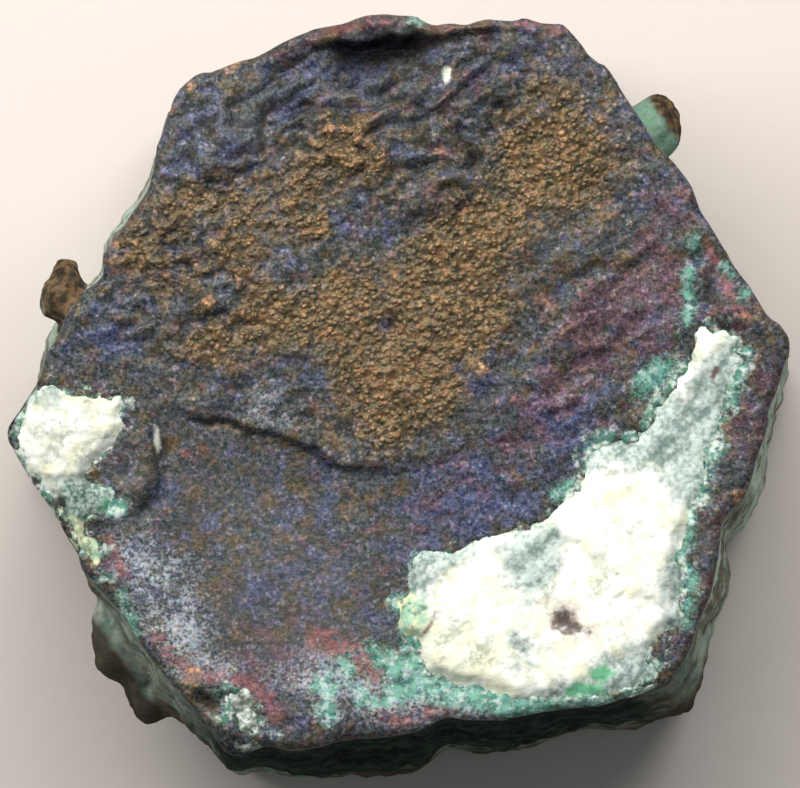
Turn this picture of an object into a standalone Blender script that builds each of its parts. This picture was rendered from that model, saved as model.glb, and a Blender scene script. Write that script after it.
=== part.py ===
# A short six-sided prism of native copper that grew in the place of a twinned aragonite crystal.
# It lies on its flat base with the other flat end up. White aragonite that the copper
# didn't replace fills three hollows in the upper face.
# Lengths are millimetres, as a mineral collector gives them, and MM turns them into metres.
# The outlines are seen from above, from a middle that centre_on_origin moves onto the Z axis.

import math

import bmesh
import bpy
from mathutils import Vector, noise
from mathutils.geometry import delaunay_2d_cdt

MM = 0.001

HEIGHT = 12.0
LIP_HEIGHT = 0.65
FACE_LEVEL = HEIGHT - LIP_HEIGHT - 0.1
BASE_INSET = 1.5
EDGE_INSET = 0.45
RIM_ROUNDING = 0.12
WALL_ROUGHNESS = 0.18
FACE_ROUGHNESS = 0.18
REMNANT_ROUGHNESS = 0.2
GAP = 0.3

# Steps between the points of the outlines and the faces.
RIM_SPACING = 0.8
FACE_SPACING = 0.8
REMNANT_SPACING = 0.6
CLUMP_SPACING = 0.3

# Rows of points that follow the rim: (how far in, the least depth of a point that is kept).
RIM_ROWS = [(0.45, 0.2), (0.95, 0.7)]
RIM_MARGIN = 1.3

# The upper face's edge, clockwise from its upper left corner.
FACE_EDGE = [
    (-7.4, 8.7), (-7.1, 9.6), (-6.3, 10.3), (-5.2, 10.6), (-4.1, 10.9), (-3.2, 11.4), (-1.8, 11.7),
    (-0.5, 12.1), (0.5, 12.0), (1.1, 11.6), (2.7, 11.9), (3.9, 11.9), (5.2, 11.7), (5.8, 11.0),
    (6.7, 10.1), (7.6, 8.8), (8.6, 7.4), (9.4, 6.3), (10.4, 4.4), (11.6, 2.4), (12.3, 1.6),
    (11.9, 0.0), (11.3, -2.0), (10.9, -3.4), (10.2, -4.3), (9.8, -6.3), (9.2, -8.1), (8.4, -9.2),
    (6.3, -9.9), (4.3, -10.1), (1.5, -10.2), (-0.7, -10.9), (-2.5, -11.2), (-5.1, -11.5),
    (-6.2, -10.3), (-7.4, -8.9), (-8.5, -7.4), (-9.8, -5.8), (-10.6, -4.4), (-11.8, -2.6),
    (-12.5, -1.1), (-11.4, 0.6), (-10.9, 1.8), (-9.5, 4.1), (-8.9, 5.2), (-8.0, 6.5), (-7.7, 7.9),
]

# How far the walls bulge out past the face's edge: (degrees round the prism, bulge).
WALL_BULGE = [
    (-20, 0.45), (7, 0.25), (35, 0.0), (66, 0.0), (98, 0.0), (123, 0.1), (150, 0.5), (168, 0.5),
    (185, 0.05), (205, 0.0), (212, 0.25), (222, 0.6), (245, 0.65), (258, 0.75), (265, 0.95),
    (279, 0.95), (300, 0.5), (313, 0.95), (321, 0.45), (340, 0.45),
]

# The share of that bulge at each height, from the base's broken edge up to just under the face.
WALL_LEVELS = [(0.35, 0.55), (1.1, 0.8), (2.8, 0.9), (4.6, 1.0), (6.4, 1.0), (8.2, 0.75), (9.8, 0.35)]
RIM_DROP = 0.5

# Grooves where the twinned crystals met, down the walls: degrees round the prism.
TWIN_GROOVES = [43, 84, 156, 226, 278, 337]
GROOVE_DEPTH = 0.3
GROOVE_WIDTH = 4.0

# Copper knobs on the walls: (middle, radii, degrees turned about Z).
KNOB_ROUGHNESS = 0.22
KNOBS = {
    "knob_left": ((-10.8, 3.35, 9.0), (0.65, 1.1, 1.15), -28),
    "knob_right": ((8.15, 8.7, 7.8), (1.0, 1.2, 1.35), -35),
    "lump_lower_left": ((-8.95, -7.9, 5.5), (0.95, 1.45, 1.8), 34),
    "lump_lower": ((-8.2, -8.95, 4.9), (1.05, 1.1, 1.6), 34),
}

# Relief of the upper face.
LIP_WIDTH = 0.75
LIP_ENDS = (64, 112)
LOWER_PLATE = [
    (-7.5, -0.9), (-6.8, -0.6), (-5.1, -0.9), (-3.3, -1.6), (-1.9, -2.2), (0.1, -2.0), (1.9, -1.6),
    (3.4, -0.3), (4.6, -1.2), (4.9, -2.9), (2.8, -4.2), (0.3, -5.2), (-0.2, -9.0), (-3.8, -10.6),
    (-6.8, -8.4), (-8.6, -5.2), (-7.6, -2.8),
]
LOWER_PLATE_DROP = 0.35
FLAKE = [(-8.6, -0.1), (-7.6, -0.6), (-7.5, -2.9), (-8.4, -3.9), (-9.3, -4.0), (-9.5, -2.2)]
FLAKE_RISE = 0.3
RIDGES = [
    ((-7.3, 7.0), (-3.9, 7.5), 0.5, 0.25),
    ((-5.5, 8.4), (-1.0, 10.2), 0.6, -0.2),
    ((-0.5, 6.6), (3.2, 9.6), 0.5, 0.25),
    ((1.6, 4.5), (5.8, 8.6), 0.6, 0.2),
    ((3.0, 1.6), (8.8, 6.2), 0.45, -0.2),
    ((4.0, -0.2), (9.0, 3.6), 0.45, 0.15),
    ((-10.3, 2.4), (-6.2, 1.5), 0.6, -0.25),
]

# The three hollows that hold white remnants.
MASS_HOLLOW = [
    (9.5, 2.2), (10.4, 1.9), (11.0, 1.8), (10.9, 1.1), (10.7, 0.3), (10.3, -0.5), (10.2, -1.6),
    (9.7, -2.2), (9.7, -3.2), (9.2, -3.7), (9.0, -4.6), (8.8, -5.3), (9.0, -6.2), (8.9, -7.0),
    (8.5, -7.5), (7.8, -8.1), (7.7, -8.8), (6.3, -9.3), (4.6, -9.5), (2.8, -9.4), (1.7, -9.1),
    (0.9, -8.7), (0.6, -7.8), (0.0, -7.5), (0.1, -6.7), (0.4, -5.3), (1.2, -5.0), (2.1, -4.8),
    (3.2, -4.4), (4.4, -4.0), (4.9, -3.5), (5.9, -2.7), (5.9, -1.9), (6.4, -1.6), (7.4, -1.4),
    (7.9, -0.8), (8.3, -0.1), (8.9, 0.6), (9.2, 1.6),
]
PATCH_HOLLOW = [
    (-11.1, 0.2), (-10.7, 0.1), (-9.6, 0.0), (-8.8, -0.1), (-8.7, -0.9), (-8.8, -1.4), (-9.3, -2.0),
    (-9.7, -2.6), (-9.2, -2.9), (-9.0, -3.4), (-9.3, -3.8), (-9.9, -3.9), (-10.4, -3.6), (-10.8, -3.0),
    (-11.3, -2.3), (-11.6, -1.7), (-11.8, -1.1), (-11.5, -0.7), (-11.3, -0.3),
]
CLUMP_HOLLOW = [
    (-6.5, -9.7), (-5.9, -9.4), (-5.1, -9.2), (-4.6, -9.4), (-4.2, -9.9), (-4.1, -10.4), (-4.5, -10.6),
    (-5.1, -10.6), (-5.6, -10.2), (-6.2, -10.0),
]
CLUMP = [
    (-5.5, -9.6), (-5.1, -9.45), (-4.7, -9.6), (-4.4, -10.0), (-4.4, -10.3), (-4.7, -10.35),
    (-5.1, -10.3), (-5.4, -9.9),
]
MASS_DEPTH = 1.6
PATCH_DEPTH = 1.3
CLUMP_DEPTH = 1.6

# Domes of the remnants above the face's level: (middle, radius, rise).
MASS_DOMES = [((6.3, -4.4), 3.6, 0.5), ((3.4, -7.6), 3.4, 0.45), ((9.6, 0.6), 2.2, 0.05)]
PATCH_DOMES = [((-10.2, -1.2), 2.2, 0.15)]
CLUMP_DOMES = [((-4.9, -9.9), 1.0, -0.15)]
REMNANT_LEVEL = FACE_LEVEL + 0.05


def clear_scene():
    for obj in list(bpy.data.objects):
        bpy.data.objects.remove(obj, do_unlink=True)


def principled(name, colour, metallic, roughness):
    material = bpy.data.materials.new(name)
    material.use_nodes = True
    shader = material.node_tree.nodes["Principled BSDF"]
    shader.inputs["Base Color"].default_value = (*colour, 1.0)
    shader.inputs["Metallic"].default_value = metallic
    shader.inputs["Roughness"].default_value = roughness
    return material


def ramp(value, low, high):
    """0 below low, 1 above high, and smooth between them."""
    share = min(max((value - low) / (high - low), 0.0), 1.0)
    return share * share * (3.0 - 2.0 * share)


def distance_to_run(point, start, end):
    """How far a point is from the straight run between two others."""
    along = end - start
    share = (point - start).dot(along) / along.length_squared
    return (point - start - along * min(max(share, 0.0), 1.0)).length


def depth_inside(point, outline):
    """The distance to the outline, negative outside it."""
    nearest = math.inf
    inside = False
    for i, end in enumerate(outline):
        start = outline[i - 1]
        nearest = min(nearest, distance_to_run(point, start, end))
        if (start.y > point.y) != (end.y > point.y):
            crossing = start.x + (point.y - start.y) / (end.y - start.y) * (end.x - start.x)
            if crossing > point.x:
                inside = not inside
    return nearest if inside else -nearest


def evenly_spaced(outline, spacing):
    """The outline again, anticlockwise, with points at equal steps."""
    corners = [Vector(point) for point in outline]
    turn = sum(corners[i - 1].cross(corner) for i, corner in enumerate(corners))
    if turn < 0:
        corners.reverse()
    lengths = [(corners[(i + 1) % len(corners)] - corner).length for i, corner in enumerate(corners)]
    count = round(sum(lengths) / spacing)
    step = sum(lengths) / count
    points = []
    side = 0
    passed = 0.0
    for i in range(count):
        while passed + lengths[side] < i * step:
            passed += lengths[side]
            side += 1
        start = corners[side]
        end = corners[(side + 1) % len(corners)]
        points.append(start.lerp(end, (i * step - passed) / lengths[side]))
    return points


def drawn_in(points, distance):
    """An anticlockwise ring moved inwards by a distance."""
    moved = []
    for i, point in enumerate(points):
        along = points[(i + 1) % len(points)] - points[i - 1]
        inwards = Vector((-along.y, along.x)).normalized()
        moved.append(point + inwards * distance)
    return moved


def grid_inside(outline, spacing, margin):
    """Points of a triangular grid that lie deeper inside the outline than margin."""
    low = Vector((min(p.x for p in outline), min(p.y for p in outline)))
    high = Vector((max(p.x for p in outline), max(p.y for p in outline)))
    row_step = spacing * math.sqrt(0.75)
    found = []
    for row in range(math.ceil((high.y - low.y) / row_step)):
        for column in range(math.ceil((high.x - low.x) / spacing)):
            shift = 0.5 * (row % 2)
            point = Vector((low.x + (column + shift) * spacing, low.y + row * row_step))
            if depth_inside(point, outline) > margin:
                found.append(point)
    return found


def closed_solid(name, rings, floor, extra, top_height, material):
    """A solid from rings of (x, y, z), lowest first, with a flat bottom and a relief on top.

    floor is the number of the ring that is filled flat, and extra holds the (x, y) of the
    points inside the top ring, whose heights come from top_height.
    """
    mesh = bmesh.new()
    made = [[mesh.verts.new(point * MM) for point in ring] for ring in rings]
    for lower, upper in zip(made, made[1:]):
        for i, corner in enumerate(lower):
            after = (i + 1) % len(lower)
            mesh.faces.new((corner, lower[after], upper[after], upper[i]))
    mesh.faces.new(reversed(made[floor]))
    rim = [point.to_2d() for point in rings[-1]]
    flat, _, faces, sources, _, _ = delaunay_2d_cdt(rim + extra, [], [list(range(len(rim)))], 1, 1e-5)
    corners = []
    for place, source in zip(flat, sources):
        on_rim = [index for index in source if index < len(rim)]
        if on_rim:
            corners.append(made[-1][on_rim[0]])
        else:
            corners.append(mesh.verts.new(Vector((place.x, place.y, top_height(place))) * MM))
    for face in faces:
        mesh.faces.new([corners[i] for i in face])
    bmesh.ops.triangulate(mesh, faces=mesh.faces)
    bmesh.ops.recalc_face_normals(mesh, faces=mesh.faces)
    data = bpy.data.meshes.new(name)
    mesh.to_mesh(data)
    mesh.free()
    data.materials.append(material)
    obj = bpy.data.objects.new(name, data)
    bpy.context.scene.collection.objects.link(obj)
    return obj


def bulge_at(degrees):
    """The walls' bulge in a direction, between the stated ones."""
    first = WALL_BULGE[0][0]
    degrees = (degrees - first) % 360 + first
    for (low, small), (high, large) in zip(WALL_BULGE, WALL_BULGE[1:]):
        if low <= degrees <= high:
            return small + (large - small) * (degrees - low) / (high - low)
    return WALL_BULGE[0][1]


def groove_at(degrees):
    depth = 0.0
    for groove in TWIN_GROOVES:
        off = abs((degrees - groove + 180) % 360 - 180)
        depth = max(depth, GROOVE_DEPTH * (1.0 - ramp(off, 0.0, GROOVE_WIDTH)))
    return depth


def wall_ring(edge, height, share, inset):
    """The face's edge pushed out to the wall at one height."""
    ring = []
    for point in edge:
        degrees = math.degrees(math.atan2(point.y, point.x))
        rough = WALL_ROUGHNESS * noise.noise(Vector((point.x, point.y, height)) * 0.6)
        out = share * (bulge_at(degrees) - groove_at(degrees) + rough) - inset
        spot = point * (1.0 + out / point.length)
        ring.append(Vector((spot.x, spot.y, height)))
    return ring


def copper_height(point, edge):
    """The height of the copper's upper face above the base."""
    height = FACE_LEVEL
    from_edge = depth_inside(point, edge)
    degrees = math.degrees(math.atan2(point.y, point.x))
    ends = ramp(degrees, LIP_ENDS[0], LIP_ENDS[0] + 8) * (1.0 - ramp(degrees, LIP_ENDS[1] - 8, LIP_ENDS[1]))
    height += LIP_HEIGHT * ends * (1.0 - ramp(from_edge, 0.35 * LIP_WIDTH, LIP_WIDTH))
    plate = [Vector(corner) for corner in LOWER_PLATE]
    height -= LOWER_PLATE_DROP * ramp(depth_inside(point, plate), -0.3, 0.4)
    flake = [Vector(corner) for corner in FLAKE]
    height += FLAKE_RISE * ramp(depth_inside(point, flake), -0.3, 0.3)
    inner = ramp(from_edge, 0.2, 1.2)
    for start, end, width, rise in RIDGES:
        away = distance_to_run(point, Vector(start), Vector(end))
        height += inner * rise * math.exp(-((away / width) ** 2))
    height += FACE_ROUGHNESS * noise.noise(Vector((point.x, point.y, 3.0)) * 0.9)
    return height - RIM_ROUNDING * (1.0 - ramp(from_edge, 0.0, 0.4))


def build_copper(material):
    edge = evenly_spaced(FACE_EDGE, RIM_SPACING)
    base = [spot.to_2d() for spot in wall_ring(edge, 0.0, WALL_LEVELS[0][1], BASE_INSET)]
    rings = [[Vector((spot.x, spot.y, 0.0)) for spot in base]]
    for height, share in WALL_LEVELS:
        inset = EDGE_INSET if height == WALL_LEVELS[0][0] else 0.0
        rings.append(wall_ring(edge, height, share, inset))
    heights = [copper_height(point, edge) for point in edge]
    rings.append([Vector((p.x, p.y, h - RIM_DROP)) for p, h in zip(edge, heights)])
    top = drawn_in(edge, RIM_ROUNDING)
    rings.append([Vector((p.x, p.y, h)) for p, h in zip(top, heights)])
    extra = []
    for inwards, least in RIM_ROWS:
        extra += [p for p in drawn_in(edge, inwards) if depth_inside(p, top) > least]
    extra += grid_inside(top, FACE_SPACING, RIM_MARGIN)
    return closed_solid("copper_prism", rings, 0, extra, lambda p: copper_height(p, edge), material)


def add_knobs(copper, material):
    """Swellings of the copper's walls, joined to it."""
    for name, (middle, radii, degrees) in KNOBS.items():
        mesh = bmesh.new()
        bmesh.ops.create_icosphere(mesh, subdivisions=2, radius=1.0)
        for vert in mesh.verts:
            rough = 1.0 + KNOB_ROUGHNESS * noise.noise(vert.co * 1.7 + Vector(middle))
            vert.co = Vector(a * b for a, b in zip(vert.co * rough, radii)) * MM
        data = bpy.data.meshes.new(name)
        mesh.to_mesh(data)
        mesh.free()
        data.materials.append(material)
        knob = bpy.data.objects.new(name, data)
        knob.location = Vector(middle) * MM
        knob.rotation_euler.z = math.radians(degrees)
        hide(knob)
        boolean(copper, knob, "UNION")


def hide(helper):
    bpy.context.scene.collection.objects.link(helper)
    helper.hide_render = True
    helper.display_type = "WIRE"


def boolean(target, helper, operation):
    modifier = target.modifiers.new(helper.name, "BOOLEAN")
    modifier.operation = operation
    modifier.solver = "EXACT"
    modifier.object = helper


def cut_hollow(copper, name, outline, depth):
    """A steep-walled hollow in the upper face, with a floor that rises a little to its edge."""
    points = evenly_spaced(outline, REMNANT_SPACING)
    low = FACE_LEVEL - depth
    mesh = bmesh.new()
    floor = [mesh.verts.new(Vector((p.x, p.y, low)) * MM) for p in drawn_in(points, 0.05)]
    mouth = [mesh.verts.new(Vector((p.x, p.y, HEIGHT + 1.0)) * MM) for p in points]
    mesh.faces.new(reversed(floor))
    mesh.faces.new(mouth)
    for i, corner in enumerate(floor):
        after = (i + 1) % len(floor)
        mesh.faces.new((corner, floor[after], mouth[after], mouth[i]))
    bmesh.ops.recalc_face_normals(mesh, faces=mesh.faces)
    data = bpy.data.meshes.new(name)
    mesh.to_mesh(data)
    mesh.free()
    cutter = bpy.data.objects.new(name, data)
    hide(cutter)
    boolean(copper, cutter, "DIFFERENCE")


def remnant_height(point, outline, domes):
    """The height of a white remnant's top above the base."""
    height = REMNANT_LEVEL
    for middle, radius, rise in domes:
        away = (point - Vector(middle)).length / radius
        height += rise * (1.0 - ramp(away, 0.2, 1.0))
    height += REMNANT_ROUGHNESS * noise.noise(Vector((point.x, point.y, 8.0)) * 0.8)
    return height - 0.25 * (1.0 - ramp(depth_inside(point, outline), 0.0, 0.6))


def build_remnant(name, outline, depth, domes, material):
    """A white remnant that stands clear of its hollow by the gap."""
    low = FACE_LEVEL - depth + GAP
    rings = [[Vector((p.x, p.y, low)) for p in drawn_in(outline, 0.1)]]
    rings.append([Vector((p.x, p.y, low + 0.3)) for p in outline])
    rings.append([Vector((p.x, p.y, remnant_height(p, outline, domes))) for p in outline])
    extra = grid_inside(outline, REMNANT_SPACING, 0.35)
    return closed_solid(name, rings, 0, extra, lambda p: remnant_height(p, outline, domes), material)


def centre_on_origin(objects):
    """Moves everything so that the origin is under the middle of the whole box."""
    graph = bpy.context.evaluated_depsgraph_get()
    corners = []
    for obj in objects:
        if not obj.hide_render:
            corners += [obj.matrix_world @ vert.co for vert in obj.evaluated_get(graph).data.vertices]
    across = [(min(c[axis] for c in corners) + max(c[axis] for c in corners)) / 2 for axis in (0, 1)]
    for obj in objects:
        obj.location -= Vector((*across, 0.0))
    print("moved by", [round(-value / MM, 4) for value in across])


def main():
    clear_scene()
    copper_finish = principled("tarnished_copper", (0.20, 0.13, 0.10), 0.8, 0.45)
    white_finish = principled("aragonite", (0.82, 0.82, 0.76), 0.0, 0.6)
    copper = build_copper(copper_finish)
    add_knobs(copper, copper_finish)
    cut_hollow(copper, "mass_hollow", MASS_HOLLOW, MASS_DEPTH)
    cut_hollow(copper, "patch_hollow", PATCH_HOLLOW, PATCH_DEPTH)
    cut_hollow(copper, "clump_hollow", CLUMP_HOLLOW, CLUMP_DEPTH)
    mass = drawn_in(evenly_spaced(MASS_HOLLOW, REMNANT_SPACING), GAP)
    build_remnant("aragonite_mass_right", mass, MASS_DEPTH, MASS_DOMES, white_finish)
    patch = drawn_in(evenly_spaced(PATCH_HOLLOW, REMNANT_SPACING), GAP)
    build_remnant("aragonite_patch_left", patch, PATCH_DEPTH, PATCH_DOMES, white_finish)
    clump = evenly_spaced(CLUMP, CLUMP_SPACING)
    build_remnant("aragonite_pocket_lower_left", clump, CLUMP_DEPTH, CLUMP_DOMES, white_finish)
    bpy.context.view_layer.update()
    centre_on_origin(list(bpy.data.objects))


main()
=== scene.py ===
import math

import bpy
import numpy as np
from mathutils import Matrix, Vector, noise


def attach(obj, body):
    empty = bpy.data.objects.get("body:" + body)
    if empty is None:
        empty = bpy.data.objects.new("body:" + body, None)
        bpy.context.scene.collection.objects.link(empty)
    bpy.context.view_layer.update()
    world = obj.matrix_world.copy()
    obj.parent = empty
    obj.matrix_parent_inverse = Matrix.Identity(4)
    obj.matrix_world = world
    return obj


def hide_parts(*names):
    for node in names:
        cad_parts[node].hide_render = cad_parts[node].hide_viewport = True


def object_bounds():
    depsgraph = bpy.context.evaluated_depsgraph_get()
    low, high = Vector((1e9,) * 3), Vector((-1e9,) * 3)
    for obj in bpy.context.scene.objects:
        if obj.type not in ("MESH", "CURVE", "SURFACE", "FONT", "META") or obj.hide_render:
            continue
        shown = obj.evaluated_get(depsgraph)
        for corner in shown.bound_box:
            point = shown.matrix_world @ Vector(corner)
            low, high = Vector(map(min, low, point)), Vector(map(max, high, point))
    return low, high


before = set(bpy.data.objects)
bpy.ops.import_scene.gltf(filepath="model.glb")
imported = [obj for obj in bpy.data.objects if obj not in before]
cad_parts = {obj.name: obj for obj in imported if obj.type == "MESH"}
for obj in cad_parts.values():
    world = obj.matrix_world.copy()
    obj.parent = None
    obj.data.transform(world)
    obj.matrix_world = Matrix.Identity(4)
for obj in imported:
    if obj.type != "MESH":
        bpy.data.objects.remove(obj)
cadLow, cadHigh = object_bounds()
bpy.context.scene.view_settings.view_transform = "Standard"
print("frame loaded")

mm = 0.001
photo = {
    "pixel": 0.031646 * mm,  # what one pixel of the photograph covers on the specimen
    "middle": (397.9, 394.0),  # the pixel over the frame's origin
    "wide": 800,
}


def at(u, v):
    # a pixel of the photograph as metres in the frame
    return (u - photo["middle"][0]) * photo["pixel"], (photo["middle"][1] - v) * photo["pixel"]


def paint(red, green, blue):
    # a screen colour from 0 to 255 as the shader's own linear colour
    parts = [part / 255 for part in (red, green, blue)]
    return (*[p / 12.92 if p < 0.04 else ((p + 0.055) / 1.055) ** 2.4 for p in parts], 1.0)


class Field:
    # a number or colour in a shader, so that plain sums add their Math nodes
    def __init__(self, finish, socket):
        self.finish = finish
        self.socket = socket

    def worked(self, operation, first, second):
        return self.finish.add("Math", {"operation": operation}, {0: first, 1: second})

    def __add__(self, other):
        return self.worked("ADD", self, other)

    def __radd__(self, other):
        return self.worked("ADD", other, self)

    def __sub__(self, other):
        return self.worked("SUBTRACT", self, other)

    def __rsub__(self, other):
        return self.worked("SUBTRACT", other, self)

    def __mul__(self, other):
        return self.worked("MULTIPLY", self, other)

    def __rmul__(self, other):
        return self.worked("MULTIPLY", other, self)

    def highest(self, other):
        return self.worked("MAXIMUM", self, other)


class Finish:
    # one material, with the few kinds of node that these finishes need
    def __init__(self, name, colours):
        self.colours = colours
        self.material = bpy.data.materials.new(name)
        self.material.use_nodes = True
        self.tree = self.material.node_tree
        self.tree.nodes.clear()
        place = self.add("TexCoord", {}, {}, "Object")
        self.spot = self.add("VectorMath", {"operation": "SCALE"}, {0: place, "Scale": 1 / mm})

    def add(self, kind, settings, inputs, output=0):
        node = self.tree.nodes.new("ShaderNode" + kind)
        for key, value in settings.items():
            setattr(node, key, value)
        for key, value in inputs.items():
            if isinstance(value, Field):
                self.tree.links.new(value.socket, node.inputs[key])
            else:
                node.inputs[key].default_value = value
        return Field(self, node.outputs[output]) if len(node.outputs) else None

    def noise(self, scale, detail=2.0, spot=None, output=0, rough=0.55):
        inputs = {"Vector": spot or self.spot, "Scale": scale, "Detail": detail, "Roughness": rough}
        return self.add("TexNoise", {}, inputs, output)

    def cells(self, scale):
        return self.add("TexVoronoi", {}, {"Vector": self.spot, "Scale": scale})

    def along(self, degrees, stretch):
        # the spot in millimetres, stretched along a direction on the face
        inputs = {"Vector": self.spot, "Rotation": (0, 0, math.radians(degrees)), "Scale": stretch}
        return self.add("Mapping", {"vector_type": "TEXTURE"}, inputs)

    def parts(self, vector):
        # the three numbers in a vector or colour
        outputs = self.add("SeparateXYZ", {}, {0: vector}).socket.node.outputs
        return [Field(self, output) for output in outputs]

    def attribute(self, name):
        return self.add("Attribute", {"attribute_name": name}, {}, "Fac")

    def mask(self, value, low, high):
        # 0 below low and 1 above high, smooth between
        inputs = {"Value": value, "From Min": low, "From Max": high}
        return self.add("MapRange", {"interpolation_type": "SMOOTHSTEP"}, inputs)

    def blend(self, first, second, share):
        return self.add("Mix", {"data_type": "RGBA"}, {0: share, 6: first, 7: second}, 2)

    def between(self, name, share):
        # from the first to the second colour of a pair
        first, second = self.colours[name]
        return self.blend(paint(*first), paint(*second), share)

    def over(self, colour, name, share):
        # one colour of the finish laid over what is there
        return self.blend(colour, paint(*self.colours[name]), share)

    def times(self, colour, amount):
        return self.add("VectorMath", {"operation": "SCALE"}, {0: colour, "Scale": amount})

    def speckled(self, colour, scale, strength):
        # each of red, green and blue wanders by itself, as on tarnished metal
        wander = self.noise(scale, 1.0, output=1)
        inputs = {0: wander, 1: (strength,) * 3, 2: (1 - strength / 2,) * 3}
        around = self.add("VectorMath", {"operation": "MULTIPLY_ADD"}, inputs)
        return self.add("VectorMath", {"operation": "MULTIPLY"}, {0: colour, 1: around})

    def bump(self, height, distance):
        return self.add("Bump", {}, {"Height": height, "Distance": distance * mm, "Strength": 1.0})

    def surface(self, colour, roughness, metallic, normal, **plain):
        inputs = {"Base Color": colour, "Roughness": roughness, "Metallic": metallic, "Normal": normal}
        shader = self.add("BsdfPrincipled", {}, {**inputs, **plain}, "BSDF")
        self.add("OutputMaterial", {}, {"Surface": shader})
        return self.material


def choose(piece):
    bpy.ops.object.select_all(action="DESELECT")
    piece.select_set(True)
    bpy.context.view_layer.objects.active = piece


def startSolid(name, outline, top, bottom):
    # a filled outline, extruded down
    bpy.ops.object.select_all(action="DESELECT")
    bpy.ops.mesh.primitive_circle_add(vertices=len(outline), radius=mm, fill_type="NGON")
    piece = bpy.context.active_object
    piece.name = piece.data.name = name
    for vertex, (u, v) in zip(piece.data.vertices, outline):
        vertex.co = (*at(u, v), top)
    bpy.ops.object.mode_set(mode="EDIT")
    bpy.ops.mesh.select_all(action="SELECT")
    bpy.ops.mesh.extrude_region_move(TRANSFORM_OT_translate={"value": (0, 0, bottom - top)})
    bpy.ops.mesh.select_all(action="SELECT")
    bpy.ops.mesh.normals_make_consistent(inside=False)
    bpy.ops.object.mode_set(mode="OBJECT")
    return piece


def remesh(piece, size):
    choose(piece)
    modifier = piece.modifiers.new("even skin", "REMESH")
    modifier.mode = "VOXEL"
    modifier.voxel_size = size * mm
    bpy.ops.object.modifier_apply(modifier=modifier.name)


def divideTop(piece, above):
    # twice the detail on the faces that look up
    choose(piece)
    for polygon in piece.data.polygons:
        polygon.select = polygon.center.z > above
    bpy.ops.object.mode_set(mode="EDIT")
    bpy.ops.mesh.subdivide(number_cuts=1)
    bpy.ops.object.mode_set(mode="OBJECT")


def pointsOf(piece):
    points = np.empty(len(piece.data.vertices) * 3, np.float32)
    piece.data.vertices.foreach_get("co", points)
    return points.reshape(-1, 3).astype(float)


def overNeighbours(piece, heights, rounds):
    # how far each point stands above its surroundings
    ends = np.empty(len(piece.data.edges) * 2, np.int32)
    piece.data.edges.foreach_get("vertices", ends)
    ends = ends.reshape(-1, 2)
    count = np.bincount(ends.ravel(), minlength=len(heights))
    level = heights.copy()
    for _ in range(rounds):
        total = np.bincount(ends[:, 0], level[ends[:, 1]], len(heights))
        total += np.bincount(ends[:, 1], level[ends[:, 0]], len(heights))
        level = (level + total) / (count + 1)
    return heights - level


def putPoints(piece, points):
    piece.data.vertices.foreach_set("co", points.astype(np.float32).ravel())
    piece.data.update()


def keep(piece, name, values):
    # a value for each point, which the finish reads by its name
    data = piece.data.attributes.new(name, "FLOAT", "POINT").data
    data.foreach_set("value", np.asarray(values, np.float32))


def pixelsOf(points):
    # the pixel of the photograph over each point
    u = points[:, 0] / photo["pixel"] + photo["middle"][0]
    v = photo["middle"][1] - points[:, 1] / photo["pixel"]
    return np.stack([u, v], 1)


def step(values, low, high):
    # 0 at low and 1 at high, smooth between, also where high is the smaller one
    share = np.clip((values - low) / (high - low), 0, 1)
    return share * share * (3 - 2 * share)


def nearest(spots, route):
    # for each spot: its distance to a route, the side that it is on, and the share of the route passed
    route = np.asarray(route, float)
    lengths = np.linalg.norm(np.diff(route, axis=0), axis=1)
    passed = np.concatenate([[0], np.cumsum(lengths)])
    distance = np.full(len(spots), np.inf)
    side = np.zeros(len(spots))
    share = np.zeros(len(spots))
    for i, length in enumerate(lengths):
        along = (route[i + 1] - route[i]) / length
        rest = spots - route[i]
        run = np.clip(rest @ along, 0, length)
        away = np.linalg.norm(rest - run[:, None] * along, axis=1)
        closer = away < distance
        distance[closer] = away[closer]
        cross = along[1] * rest[:, 0] - along[0] * rest[:, 1]
        side[closer] = np.sign(cross)[closer]
        share[closer] = ((passed[i] + run) / passed[-1])[closer]
    return distance, side, share


def depthIn(spots, outline):
    # pixels inside a closed outline, negative outside
    outline = np.asarray(outline, float)
    distance, _, _ = nearest(spots, np.concatenate([outline, outline[:1]]))
    inside = np.zeros(len(spots), bool)
    for start, end in zip(outline, np.roll(outline, -1, 0)):
        if start[1] == end[1]:
            continue
        crossing = start[0] + (spots[:, 1] - start[1]) / (end[1] - start[1]) * (end[0] - start[0])
        inside ^= ((start[1] > spots[:, 1]) != (end[1] > spots[:, 1])) & (crossing > spots[:, 0])
    return np.where(inside, distance, -distance)


def deepest(spots, tint):
    # pixels inside the outlines and streaks of a tint, negative outside
    outlines, streaks = tint
    depth = np.full(len(spots), -99.0)
    for outline in outlines:
        depth = np.maximum(depth, depthIn(spots, outline))
    for route, halfWidth in streaks:
        depth = np.maximum(depth, halfWidth - nearest(spots, route)[0])
    return depth


def washed(spots, blobs):
    # soft round washes: (u, v, radius, strength)
    total = np.zeros(len(spots))
    for u, v, radius, strength in blobs:
        total += strength * np.exp(-((spots[:, 0] - u) ** 2 + (spots[:, 1] - v) ** 2) / radius**2)
    return np.clip(total, -1, 1)


def grained(points, scale, octaves=1, degrees=0.0, stretch=(1, 1, 1), shift=0.0):
    # fractal noise at millimetre points, stretched along a direction
    turn = math.radians(degrees)
    x = (points[:, 0] * math.cos(turn) + points[:, 1] * math.sin(turn)) / mm / stretch[0]
    y = (points[:, 1] * math.cos(turn) - points[:, 0] * math.sin(turn)) / mm / stretch[1]
    z = points[:, 2] / mm / stretch[2] + shift
    places = np.stack([x, y, z], 1) * scale
    return np.array([noise.fractal(place, 0.9, 2.1, octaves) for place in places])


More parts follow.
